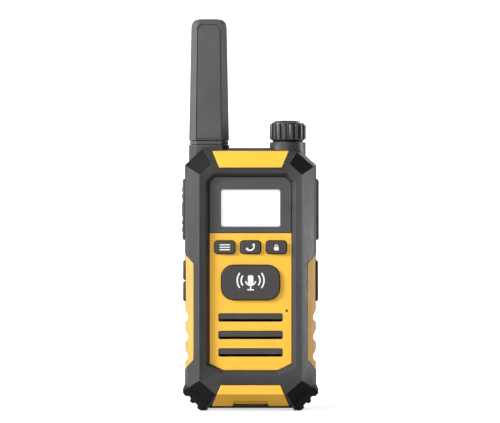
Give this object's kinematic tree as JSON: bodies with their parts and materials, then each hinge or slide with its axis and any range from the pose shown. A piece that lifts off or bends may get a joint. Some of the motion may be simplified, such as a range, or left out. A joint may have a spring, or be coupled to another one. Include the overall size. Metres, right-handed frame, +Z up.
{
  "type": "two way radio",
  "caption": "Handheld two way radio with a fixed aerial, display, front and side keys, volume knob, port covers, sprung belt clip and a hinged battery door.",
  "frame": {"origin": "centre of the bounding box's underside, on the plane the two feet stand on", "axes": "+Z up along the aerial; -Y is the front with the display; +X is the user's right, where the volume knob and port covers are"},
  "size_m": [0.0586, 0.0418, 0.1672],
  "materials": {
    "armour_plastic": "fine-textured charcoal ABS",
    "guard_rubber": "matt black moulded rubber",
    "yellow_plastic": "satin amber-yellow plastic",
    "key_plastic": "warm charcoal satin plastic",
    "soft_rubber": "matt charcoal rubber",
    "clear_lens": "clear acrylic with a hard coat",
    "display_panel": "white display in a plastic holder",
    "circuit_board": "green solder mask",
    "steel": "nickel-plated steel",
    "brass": "bare brass",
    "paper_cone": "black paper",
    "cell_sleeve": "plain shrink sleeve"
  },
  "bodies": {
    "case": {"front_housing": "armour_plastic", "rear_housing": "armour_plastic", "housing_gasket": "guard_rubber", "top_bumper": "yellow_plastic", "bottom_bumper": "yellow_plastic", "corner_guard_bottom_right": "guard_rubber", "corner_guard_top_right": "guard_rubber", "corner_guard_top_left": "guard_rubber", "corner_guard_bottom_left": "guard_rubber", "left_grip": "yellow_plastic", "right_grip": "yellow_plastic", "face_plate": "yellow_plastic", "display_bezel": "armour_plastic", "display_window": "clear_lens", "lcd_module": "display_panel", "speaker_grille": "key_plastic", "speaker_frame": "steel", "speaker_cone": "paper_cone", "microphone": "steel", "main_board": "circuit_board", "shield_can": "steel", "jack_block": "key_plastic", "charge_socket": "steel", "volume_control": "steel", "knob_seal": "guard_rubber", "aerial_sleeve": "soft_rubber", "aerial_collar": "armour_plastic", "aerial_stud": "brass", "aerial_coil": "brass", "door_pin": "steel", "cell_1": "cell_sleeve", "cell_2": "cell_sleeve", "cell_3": "cell_sleeve", "cell_spring_1": "steel", "cell_spring_2": "steel", "cell_spring_3": "steel", "lower_contact": "steel", "upper_contact": "steel", "clip_bracket": "armour_plastic", "clip_pin": "steel", "case_screw_top_left": "steel", "case_screw_top_right": "steel", "case_screw_bottom_left": "steel", "case_screw_bottom_right": "steel", "bracket_screw_left": "steel", "bracket_screw_right": "steel"},
    "talk_button": {"talk_button": "key_plastic"},
    "menu_key": {"menu_key": "key_plastic"},
    "call_key": {"call_key": "key_plastic"},
    "lock_key": {"lock_key": "key_plastic"},
    "side_talk_key": {"side_talk_key": "soft_rubber"},
    "up_key": {"up_key": "soft_rubber"},
    "down_key": {"down_key": "soft_rubber"},
    "volume_knob": {"volume_knob": "soft_rubber", "volume_shaft": "steel"},
    "jack_cover": {"jack_cover": "soft_rubber"},
    "charge_cover": {"charge_cover": "soft_rubber"},
    "battery_door": {"battery_door": "armour_plastic"},
    "belt_clip": {"belt_clip": "soft_rubber", "clip_spring": "steel"}
  },
  "joints": [
    {"name": "talk_press", "type": "slide", "parent": "case", "child": "talk_button", "axis": [0, 1, 0], "range_m": [0, 0.0012], "stiffness_N_per_m": 900, "springref_m": -0.0004},
    {"name": "menu_press", "type": "slide", "parent": "case", "child": "menu_key", "axis": [0, 1, 0], "range_m": [0, 0.0008], "stiffness_N_per_m": 900, "springref_m": -0.0003},
    {"name": "call_press", "type": "slide", "parent": "case", "child": "call_key", "axis": [0, 1, 0], "range_m": [0, 0.0008], "stiffness_N_per_m": 900, "springref_m": -0.0003},
    {"name": "lock_press", "type": "slide", "parent": "case", "child": "lock_key", "axis": [0, 1, 0], "range_m": [0, 0.0008], "stiffness_N_per_m": 900, "springref_m": -0.0003},
    {"name": "side_talk_press", "type": "slide", "parent": "case", "child": "side_talk_key", "axis": [1, 0, 0], "range_m": [0, 0.0008], "stiffness_N_per_m": 900, "springref_m": -0.0003},
    {"name": "up_press", "type": "slide", "parent": "case", "child": "up_key", "axis": [1, 0, 0], "range_m": [0, 0.0008], "stiffness_N_per_m": 900, "springref_m": -0.0003},
    {"name": "down_press", "type": "slide", "parent": "case", "child": "down_key", "axis": [1, 0, 0], "range_m": [0, 0.0008], "stiffness_N_per_m": 900, "springref_m": -0.0003},
    {"name": "volume_turn", "type": "hinge", "parent": "case", "child": "volume_knob", "pos_m": [0.0159, -0.00628, 0.118], "axis": [0, 0, -1], "range_deg": [0, 280]},
    {"name": "jack_cover_swing", "type": "hinge", "parent": "case", "child": "jack_cover", "pos_m": [0.0281, -0.00072, 0.0857], "axis": [0, 0, 1], "range_deg": [0, 110]},
    {"name": "charge_cover_swing", "type": "hinge", "parent": "case", "child": "charge_cover", "pos_m": [0.02765, -0.00072, 0.0552], "axis": [0, 0, 1], "range_deg": [0, 110]},
    {"name": "clip_squeeze", "type": "hinge", "parent": "case", "child": "belt_clip", "pos_m": [0, 0.01558, 0.0992], "axis": [1, 0, 0], "range_deg": [0, 20], "stiffness_Nm_per_rad": 0.4, "springref_deg": -11.46},
    {"name": "battery_door_swing", "type": "hinge", "parent": "case", "child": "battery_door", "pos_m": [0, 0.01008, 0.00655], "axis": [-1, 0, 0], "range_deg": [0, 90]}
  ]
}
